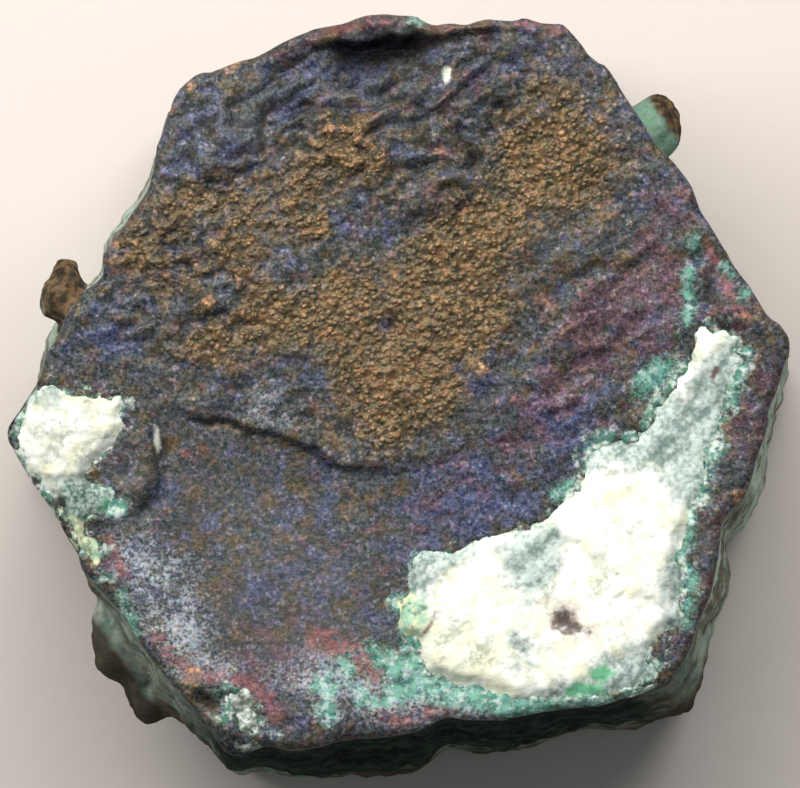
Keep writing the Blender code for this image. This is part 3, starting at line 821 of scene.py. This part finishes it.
def faceColour(f):
    # the tarnished face: dark slate under thin films, with bronze granules
    middle = f.noise(1.6, 4) - 0.5
    small = f.noise(3.2, 3) - 0.5
    wander = (f.noise(0.55, 4) - 0.5) * 0.7 + middle + small * 1.2
    grain = f.noise(6.0, 3)
    fine = f.noise(12.0, 2)
    hues = f.parts(f.noise(1.5, 4, output=1))
    marks = f.parts(f.noise(3.0, 3, output=1))
    warp = f.noise(1.0, 3) * 34 + fine * 20 - 27
    lift = f.attribute("lift")
    paleAndLit = f.attribute("paleAndLit")
    # the granules' tops: their height in the bump, and where a painted highlight lightens them
    granuleTop = f.mask(f.cells(4.8), 0.65, 0.0)
    highlightDots = f.mask(f.cells(6.0), 0.5, 0.15) * f.mask(marks[0], 0.48, 0.62)
    light = f.mask(grain * 0.6 + fine * 0.4, 0.3, 0.72)
    warm = f.mask(f.attribute("warm") + wander + lift * 2.0, -0.05, 1.0)
    gold = hues[2] - hues[0] * 0.3 + marks[2] * 0.4 + paleAndLit * 0.05
    blue = f.attribute("blue") * 0.24 + hues[0] + marks[1] * 0.4 - lift * 0.2
    films = {
        "olive": f.mask(hues[2] + marks[1] * 0.4 + paleAndLit * 0.06, 0.62, 0.86) * 0.7,
        "blue": f.mask(blue, 0.72, 0.98) * 0.7,
        "maroon": f.mask(f.attribute("maroon") * 0.26 + hues[1] + marks[2] * 0.4, 0.74, 1.0) * 0.65,
        "gold": f.mask(gold, 0.66, 0.8) * 0.3,
    }
    slate = f.between("slate", light)
    for film, share in films.items():
        slate = f.blend(slate, f.between(film, light), share)
    # paler tone, with painted light on the lip's top
    slate = f.over(slate, "paleSlate", paleAndLit * 0.16)
    # painted highlights: small bright dots, and lighter granule tops in the bronze
    slate = f.over(slate, "slateHighlight", highlightDots * 0.22)
    bronze = f.between("bronze", light)
    bronze = f.over(bronze, "orange", f.mask(marks[2] + hues[1] * 0.4, 0.62, 0.84) * 0.3)
    bronze = f.over(bronze, "granuleTop", granuleTop * 0.32)
    bronze = f.over(bronze, "bronzeHighlight", highlightDots * (0.15 + granuleTop * 0.45))
    colour = f.blend(slate, bronze, warm * 0.92)

    haze = f.mask(f.noise(7.0, 5) + middle * 0.7 + (fine - 0.5) * 0.5, 0.38, 0.7)
    frost = f.mask(f.attribute("frost") + warp, -22, 16) * (haze * 0.85 + 0.08)
    colour = f.blend(colour, f.between("frost", marks[1]), frost * 0.72)
    salmon = f.mask(f.attribute("salmon") + warp * 0.35, -5, 5) * f.mask(f.noise(3.6, 5), 0.34, 0.6)
    colour = f.blend(colour, f.between("salmon", grain), salmon * 0.66)
    glint = f.mask(f.attribute("glint") + middle * 1.4 + small, 0.3, 0.9)
    colour = f.over(colour, "glint", glint * (granuleTop * 0.6 + 0.1))
    inGreen = f.attribute("green")
    wisps = f.noise(2.6, 6, rough=0.65)
    green = f.mask(inGreen + warp * 0.8, -10, 8) * f.mask(wisps + inGreen * 0.015, 0.34, 0.54)
    jade = f.between("jade", f.mask(wisps + (fine - 0.5) * 0.2, 0.38, 0.6))
    jade = f.over(jade, "paleJade", f.mask(f.noise(3.0, 6), 0.48, 0.66) * 0.8)
    colour = f.blend(colour, jade, green * 0.8)
    film = f.mask(f.attribute("whiteFilm") + warp * 0.12, -2, 2)
    colour = f.over(colour, "whiteFilm", film * 0.8)

    # green and white crumbs round the white remnants
    width = f.mask(f.noise(0.5, 3), 0.42, 0.6) * 24
    near = f.mask(f.attribute("fringe") + warp * 0.6, -3 - width, 5)
    fringe = near * f.mask(f.noise(2.2, 6, rough=0.65) + near * 0.12, 0.52, 0.68)
    colour = f.blend(colour, f.between("fringe", f.mask(f.noise(4.0, 5), 0.42, 0.62)), fringe * 0.8)

    # painted shade: the colour darkens in the relief's hollows and under the shade washes
    hollowShade = f.mask(lift, 0.01, -0.07)
    shade = (f.attribute("shade").highest(0.0) * 0.92).highest(hollowShade * 0.4)
    colour = f.times(f.speckled(colour, 6.0, 0.45), (1 - shade) * (1.12 - warm * 0.1))
    bright = green.highest(frost).highest(film).highest(fringe)
    granular = f.mask(f.attribute("warm"), 0.0, 0.8)
    return colour, warm, bright, grain * 0.8 + granuleTop * (granular * 1.4 + 0.25)


def wallColour(f, fine):
    # crusts on the walls, with painted shade that is black where the photograph shows them so and painted
    # light on the paler walls, bare copper on two knobs
    x, _, z = f.parts(f.spot)
    shadeByAngle = f.attribute("shadeByAngle")
    broad = f.noise(0.5, 5)
    lines = f.noise(1.0, 3, f.along(0, (8.0, 8.0, 0.7)))
    crumbs = f.noise(2.4, 4)
    ragged = f.noise(1.1, 5)
    wall = f.between("crust", f.mask(crumbs, 0.36, 0.64))
    wall = f.over(wall, "lines", f.mask(lines + (fine - 0.5) * 0.3, 0.46, 0.64) * 0.5)
    # painted light: paler crust where the wall's shade value is below 0
    wall = f.over(wall, "litCrust", f.mask(shadeByAngle, 0.0, -0.6) * 0.85)
    bare = f.between("bare", f.mask(f.noise(3.4, 4), 0.38, 0.66))
    rust = f.mask(f.attribute("plates") * 0.2 + broad + (crumbs - 0.5) * 0.9, 0.42, 0.8)
    wall = f.blend(wall, bare, rust * 0.85)
    malachite = f.mask(f.noise(1.3, 6) - rust * 0.05, 0.48, 0.66)
    wall = f.blend(wall, f.between("malachite", crumbs), malachite * 0.55)

    # painted shade: near black by the direction round the prism, less of it lower down, brown where bare
    # copper lies in it
    low = f.mask(z + (broad - 0.5) * 8 + (ragged - 0.5) * 5, 6.6, 3.4)
    wallShade = f.mask(shadeByAngle + (crumbs - 0.5) * 1.2 + (ragged - 0.5) * 0.7 - low * 0.75, 0.25, 0.9)
    dark = f.between("wallShade", f.mask(lines * 0.3 + crumbs * 0.7, 0.4, 0.64))
    wall = f.blend(wall, f.over(dark, "brownInShade", rust * low * 0.8), wallShade)

    knob = f.mask(f.attribute("knob") + (f.noise(1.5, 3) - 0.5) * 0.7, 0.35, 0.6)
    wall = f.blend(wall, bare, knob * 0.95)
    jut = f.attribute("jut") + (f.noise(1.2, 3) - 0.5) * 0.5
    foot = knob * f.mask(jut, 0.8, 0.5) * f.mask(x, 0.0, 1.0)
    wall = f.blend(wall, f.between("knobFoot", fine), foot)
    outer = f.mask(jut, 0.6, 0.95) * (1 - knob) * (1 - wallShade)
    wall = f.blend(wall, f.between("outermost", fine), outer * 0.9)
    # painted shade: the crust darkens in the walls' dents
    wall = f.times(wall, 1 - f.mask(f.attribute("dents"), 0.0, -0.09) * 0.55)
    return f.speckled(wall, 6.0, 0.5)


def copperFinish():
    f = Finish("tarnishedCopper", copperColours)
    colour, warm, bright, height = faceColour(f)
    fine = f.noise(9.0, 2)
    # the face's skin hangs a little way down the walls
    drape = 1 - f.mask(f.attribute("drop") + (f.noise(1.1, 4) - 0.5) * 2.4, 0.1, 0.6)
    skin = f.mask(f.attribute("onFace"), 0.55, 0.95).highest(drape)
    colour = f.blend(wallColour(f, fine), colour, skin)
    metallic = skin * (0.3 + warm * 0.2) * (1 - bright)
    roughness = 0.92 - skin * 0.42 - warm * 0.06 + (fine - 0.5) * 0.15
    dull = {"Specular IOR Level": 0.05}
    return f.surface(colour, roughness, metallic, f.bump(height + fine * 0.3, 0.036), **dull)


# Areas of the white remnants, in pixels
whites = {
    # u, v, radius, and height in millimetres
    "massSwells": [(520, 640, 110, 0.12), (610, 620, 90, 0.05)],
    "massMounds": [(562, 622, 12, -0.22), (722, 345, 30, 0.12)],
    "patchSwells": [(70, 420, 60, 0.2), (90, 500, 24, -0.12), (96, 560, 16, 0.05)],
    "dull": [(70, 440, 80, 0.2), (84, 500, 26, 0.45), (85, 535, 24, 0.2)],  # u, v, radius, strength
    "dome": [
        (540, 520), (552, 508), (566, 500), (575, 492), (583, 480), (600, 468), (625, 464), (650, 468),
        (664, 475), (672, 484), (672, 496), (680, 503), (692, 511), (684, 527), (680, 540), (674, 556),
        (660, 600), (620, 590), (600, 560), (570, 540), (552, 530),
    ],
    "crisp": [
        (400, 604), (408, 624), (418, 638), (420, 655), (426, 671), (455, 685), (483, 692), (500, 698),
    ],
    "glassy": [
        [(700, 376), (712, 354), (728, 340), (746, 336), (744, 360), (738, 378), (728, 400), (722, 430),
         (722, 446), (708, 458), (707, 490), (694, 508), (676, 500), (668, 482), (645, 466), (612, 462),
         (590, 470), (576, 478), (576, 458), (605, 440), (633, 430), (652, 412), (668, 396), (684, 398),
         (694, 384)],
        [(504, 531), (530, 524), (556, 526), (566, 540), (562, 556), (556, 572), (548, 590), (530, 598),
         (514, 590), (508, 566), (500, 548)],
        [(404, 560), (430, 549), (466, 544), (470, 552), (450, 562), (432, 572), (424, 590), (404, 600),
         (396, 590)],
        [(655, 646), (658, 680), (624, 696), (580, 702), (545, 705), (540, 694), (580, 680), (616, 656),
         (636, 650)],
        [(668, 565), (688, 572), (688, 618), (664, 634), (666, 600), (664, 578)],
        [(516, 640), (528, 644), (534, 658), (526, 664), (518, 654)],
        [(52, 482), (66, 476), (92, 476), (106, 480), (120, 500), (110, 518), (86, 522), (64, 518),
         (54, 500)],
        [(46, 380), (60, 384), (58, 396), (44, 400), (36, 396)],
    ],
    "rows": [
        [(600, 524), (626, 520), (660, 524), (664, 540), (640, 544), (606, 540)],
        [(420, 556), (470, 548), (472, 562), (420, 568)],
        [(424, 610), (460, 606), (498, 640), (480, 676), (440, 672), (424, 650)],
        [(580, 575), (640, 565), (655, 600), (620, 625), (590, 610)],
        [(36, 404), (80, 412), (118, 408), (118, 436), (84, 462), (44, 470), (24, 440)],
    ],
    "spot": [
        [(553, 614), (562, 610), (572, 614), (580, 626), (588, 632), (572, 633), (558, 630), (552, 622)],
    ],
    "rust": [
        [(715, 366), (720, 368), (716, 376), (711, 381), (710, 376)],
        [(433, 606), (436, 612), (434, 622), (426, 632), (419, 637), (428, 628), (432, 618)],
        [(84, 400), (90, 399), (89, 402), (84, 403)],
    ],
    "green": [
        [(590, 668), (604, 664), (614, 674), (606, 684), (592, 680)],
        [(566, 688), (580, 681), (602, 686), (606, 694), (584, 697), (568, 697)],
        [(104, 500), (114, 504), (108, 511), (98, 510)],
    ],
    "teal": [
        [(62, 480), (84, 476), (102, 480), (114, 490), (120, 504), (108, 518), (88, 524), (68, 520),
         (60, 504)],
    ],
    "crust": [
        [(388, 600), (402, 590), (418, 596), (430, 604), (428, 620), (418, 636), (402, 644), (392, 630)],
        [(60, 514), (86, 520), (96, 530), (106, 542), (108, 560), (110, 582), (100, 584), (86, 566),
         (72, 542)],
    ],
    "cream": [
        [(70, 388), (124, 396), (124, 420), (104, 412), (72, 404)],
        [(424, 624), (470, 622), (500, 660), (490, 680), (455, 684), (426, 668)],
    ],
    # painted shade: near-black in small pits and along the patch's edge
    "pitShade": [
        [(76, 548), (86, 550), (84, 562), (76, 560)],
        [(56, 496), (62, 494), (66, 512), (60, 512)],
        [(84, 516), (104, 512), (108, 518), (88, 522)],
        [(2, 424), (12, 412), (16, 428), (14, 440), (6, 440)],
    ],
}


def crispness(spots):
    # how near a spot is to the raised edge at the large remnant's lower left
    return step(nearest(spots, whites["crisp"])[0], 26, 8)


def massHeight(points, spots):
    flat = points * (1, 1, 0)
    rise = washed(spots, whites["massSwells"])
    rise += 0.12 * step(depthIn(spots, whites["dome"]) + grained(points, 1.5, 3, shift=9) * 8, -6, 9)
    glassy = step(deepest(spots, (whites["glassy"], [])), -6, 8)
    fibres = grained(flat, 2.2, 3, degrees=48, stretch=(4, 1, 1)) * 0.04
    rise += grained(flat, 0.9, 4, shift=2) * 0.07 + creased(flat, 2.6, 3, shift=6) * 0.02
    rise += (fibres - 0.1) * glassy - crispness(spots) * 0.05
    return rise + sum(mound(spots, *place) for place in whites["massMounds"])


def patchHeight(points, spots):
    flat = points * (1, 1, 0)
    rise = washed(spots, whites["patchSwells"])
    folds = creased(flat, 2.4, 3, stretch=(3, 1, 1), shift=6) * 0.025
    rise += creased(flat, 1.2, 3, shift=2) * 0.03 + folds
    return rise - 0.05


def clumpHeight(points, spots):
    return creased(points * (1, 1, 0), 1.8, 3, shift=2) * 0.3 - 0.45


remnants = {
    # node, outline, thickness and mesh step in millimetres, width of the soft edge in pixels, heights
    "aragoniteMass": ("aragonite_mass_right", massEdge, 1.1, 0.1, 15, massHeight),
    "aragonitePatch": ("aragonite_patch_left", patchEdge, 0.9, 0.07, 15, patchHeight),
    "aragoniteClump": ("aragonite_pocket_lower_left", clumpEdge, 1.0, 0.06, 5, clumpHeight),
}


def buildRemnant(name, material, node, outline, thick, skin, soft, shape):
    level = prism["face"]
    piece = startSolid(name, grown(outline, 4), level * mm, (level - thick) * mm)
    remesh(piece, skin)
    points = pointsOf(piece)
    spots = pixelsOf(points)
    top = step(points[:, 2], (level - 0.3) * mm, (level - 0.05) * mm)
    depth = depthIn(spots, outline)
    inner = step(depth + grained(points, 1.5, 3, shift=17) * soft / 3, -3, soft)
    edgeLevel = faceHeight(points, spots) - 0.16
    rise = edgeLevel + (shape(points, spots) - edgeLevel) * inner
    points[:, 2] += top * rise * mm
    points[:, 2] = np.minimum(points[:, 2], cadHigh.z - 0.01 * mm)
    putPoints(piece, points)
    keep(piece, "depth", depth)
    keep(piece, "crisp", crispness(spots))
    for area in ("glassy", "rows", "spot", "rust", "green", "teal", "cream", "crust", "pitShade"):
        keep(piece, area, deepest(spots, (whites[area], [])))
    keep(piece, "pocket", depthIn(spots, grown(clumpEdge, 6)))
    keep(piece, "dull", washed(spots, whites["dull"]))
    piece.data.materials.append(material)
    choose(piece)
    bpy.ops.object.shade_smooth()
    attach(piece, "root")
    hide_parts(node)


whiteColours = {
    "chalk": ((242, 246, 238), (234, 235, 208)),
    "cream": ((226, 228, 200), (176, 180, 146)),
    "glassy": ((84, 112, 108), (192, 208, 202)),
    "teal": ((76, 130, 116), (206, 224, 214)),
    "shadow": ((50, 56, 58), (110, 132, 124)),
    "green": ((24, 140, 84), (110, 196, 150)),
    "spot": ((150, 112, 104), (56, 34, 34)),
    "crust": ((132, 190, 160), (226, 222, 178)),
    "rust": ((120, 70, 66), (70, 38, 38)),
    "pocket": ((44, 58, 52), (188, 202, 192)),
    "mottle": (196, 204, 186),
    "rows": (160, 172, 158),
    "halo": (190, 172, 160),
    "crustSpeck": (58, 76, 60),
    "pitShade": (38, 42, 40),
}


def whiteFinish():
    f = Finish("aragonite", whiteColours)
    middle = f.noise(2.6, 5)
    fine = f.noise(7.0, 3)
    clouds = f.parts(f.noise(1.4, 6, output=1))
    warp = (f.noise(1.0, 3) - 0.5) * 24 + (f.noise(4.0, 3) - 0.5) * 34
    fibres = f.noise(2.2, 4, f.along(46, (5.0, 1.0, 1.0)))
    streaks = f.mask(fibres * 0.4 + middle * 0.3 + fine * 0.3, 0.4, 0.6)
    mottle = f.mask(clouds[1] + fine * 0.4, 0.72, 0.88)

    def area(name, wander, low, high):
        # 1 well inside an outlined area, 0 outside, with a ragged edge
        return f.mask(f.attribute(name) + warp * wander, low, high)

    white = f.between("chalk", f.mask(clouds[0], 0.44, 0.64))
    white = f.over(white, "mottle", mottle * 0.6)
    white = f.blend(white, f.between("cream", mottle), area("cream", 0.6, -12, 12) * 0.7)
    rows = area("rows", 0.6, -8, 8) * f.mask(fibres * 0.6 + fine * 0.4, 0.48, 0.6)
    white = f.over(white, "rows", rows * 0.6)
    glassy = f.mask(f.attribute("glassy") + warp * 0.9 + (clouds[2] - 0.5) * 30, -16, 10)
    white = f.blend(white, f.between("glassy", streaks), glassy * 0.92)
    soft = 1 - f.attribute("crisp") * 0.8
    rim = area("depth", 0.8, 13, -5) * soft * f.mask(clouds[1], 0.34, 0.54)
    mossy = area("teal", 0.5, -8, 8) * f.mask(middle, 0.3, 0.5)
    white = f.blend(white, f.between("teal", f.mask(fine, 0.38, 0.6)), rim.highest(mossy) * 0.85)
    outer = area("depth", 0.5, 3, -6) * soft
    white = f.blend(white, f.between("shadow", f.mask(fine, 0.4, 0.62)), outer * 0.8)
    white = f.blend(white, f.between("green", fine), area("green", 0.35, -4, 4) * 0.85)

    halo = area("spot", 0.5, -24, 0) * f.mask(middle + fine * 0.4, 0.5, 0.8)
    white = f.over(white, "halo", halo * 0.6)
    spot = area("spot", 0.5, -12, 5)
    dark = f.between("spot", f.mask(spot + fine - 0.5, 0.3, 0.9))
    white = f.blend(white, dark, spot * f.mask(spot + middle, 0.5, 1.3) * 0.92)
    crust = f.between("crust", f.mask(clouds[0] + fine * 0.5, 0.64, 0.9))
    crust = f.over(crust, "crustSpeck", f.mask(f.noise(3.0, 5), 0.46, 0.34) * 0.8)
    white = f.blend(white, crust, area("crust", 0.4, -6, 5) * 0.9)
    white = f.blend(white, f.between("rust", fine), area("rust", 0.15, -2, 2) * 0.85)
    # painted shade in the pits
    white = f.over(white, "pitShade", area("pitShade", 0.3, -3, 3) * 0.9)
    speckle = f.between("pocket", f.mask(f.noise(3.4, 5), 0.36, 0.6))
    white = f.blend(white, speckle, area("pocket", 0.2, -4, 2) * 0.85)
    white = f.times(white, 1 - f.attribute("dull"))
    fibrous = f.mask(f.attribute("glassy"), -16, 10)
    return f.surface(white, 0.6, 0.0, f.bump(middle + fibres * fibrous * 0.8 + fine * 0.3, 0.04))


copper = buildPrism()
copper.data.materials.append(copperFinish())
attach(copper, "root")
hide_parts("copper_prism")
print("copper prism made:", len(copper.data.polygons), "faces")

aragonite = whiteFinish()
for name, remnant in remnants.items():
    buildRemnant(name, aragonite, *remnant)
print("white remnants made")

stage = {
    "floorSize": 3.0,
    "floor": ((204, 197, 192), (210, 206, 202)),
    "keyPlace": (-0.015, 0.06, 0.09),
    "keySize": (0.25, 0.06),
    "keyColour": (1.0, 0.955, 0.92),
    "keyPower": 0.32,
    "fill": 0.2,
    "fillColour": (0.9, 0.97, 1.0, 1.0),
}


def buildFloor():
    bpy.ops.object.select_all(action="DESELECT")
    bpy.ops.mesh.primitive_plane_add(size=stage["floorSize"])
    floor = bpy.context.active_object
    floor.name = "floor"
    f = Finish("paleFloor", stage)
    colour = f.between("floor", f.noise(0.05, 2) * 0.03)
    floor.data.materials.append(f.surface(colour, 0.9, 0.0, f.bump(f.noise(2.0, 2), 0.01)))


def buildLights():
    light = bpy.data.lights.new("keyLight", "AREA")
    light.shape = "RECTANGLE"
    light.size, light.size_y = stage["keySize"]
    light.energy = stage["keyPower"]
    light.color = stage["keyColour"]
    lamp = bpy.data.objects.new("keyLight", light)
    lamp.location = stage["keyPlace"]
    lamp.rotation_euler = (-lamp.location).to_track_quat("-Z", "Y").to_euler()
    bpy.context.scene.collection.objects.link(lamp)
    world = bpy.data.worlds.new("softRoom")
    world.use_nodes = True
    background = world.node_tree.nodes["Background"]
    background.inputs["Color"].default_value = stage["fillColour"]
    background.inputs["Strength"].default_value = stage["fill"]
    bpy.context.scene.world = world


view = {"lens": 800.0, "sensor": 36.0, "tilt": 3.0, "turn": 17.0, "aim": (400, 394), "height": 11.3}


def buildCamera():
    data = bpy.data.cameras.new("scanner")
    data.lens = view["lens"]
    data.sensor_width = view["sensor"]
    camera = bpy.data.objects.new("scanner", data)
    aim = Vector((*at(*view["aim"]), view["height"] * mm))
    distance = photo["wide"] * photo["pixel"] * view["lens"] / view["sensor"]
    tilt, turn = math.radians(view["tilt"]), math.radians(view["turn"])
    back = Vector((math.sin(tilt) * math.sin(turn), -math.sin(tilt) * math.cos(turn), math.cos(tilt)))
    camera.location = aim + back * distance
    right = Vector((0, 1, 0)).cross(back).normalized()
    camera.rotation_euler = Matrix((right, back.cross(right), back)).transposed().to_euler()
    data.clip_start, data.clip_end = 0.01, 10.0
    bpy.context.scene.collection.objects.link(camera)
    bpy.context.scene.camera = camera


buildFloor()
buildLights()
buildCamera()
print("stage made")
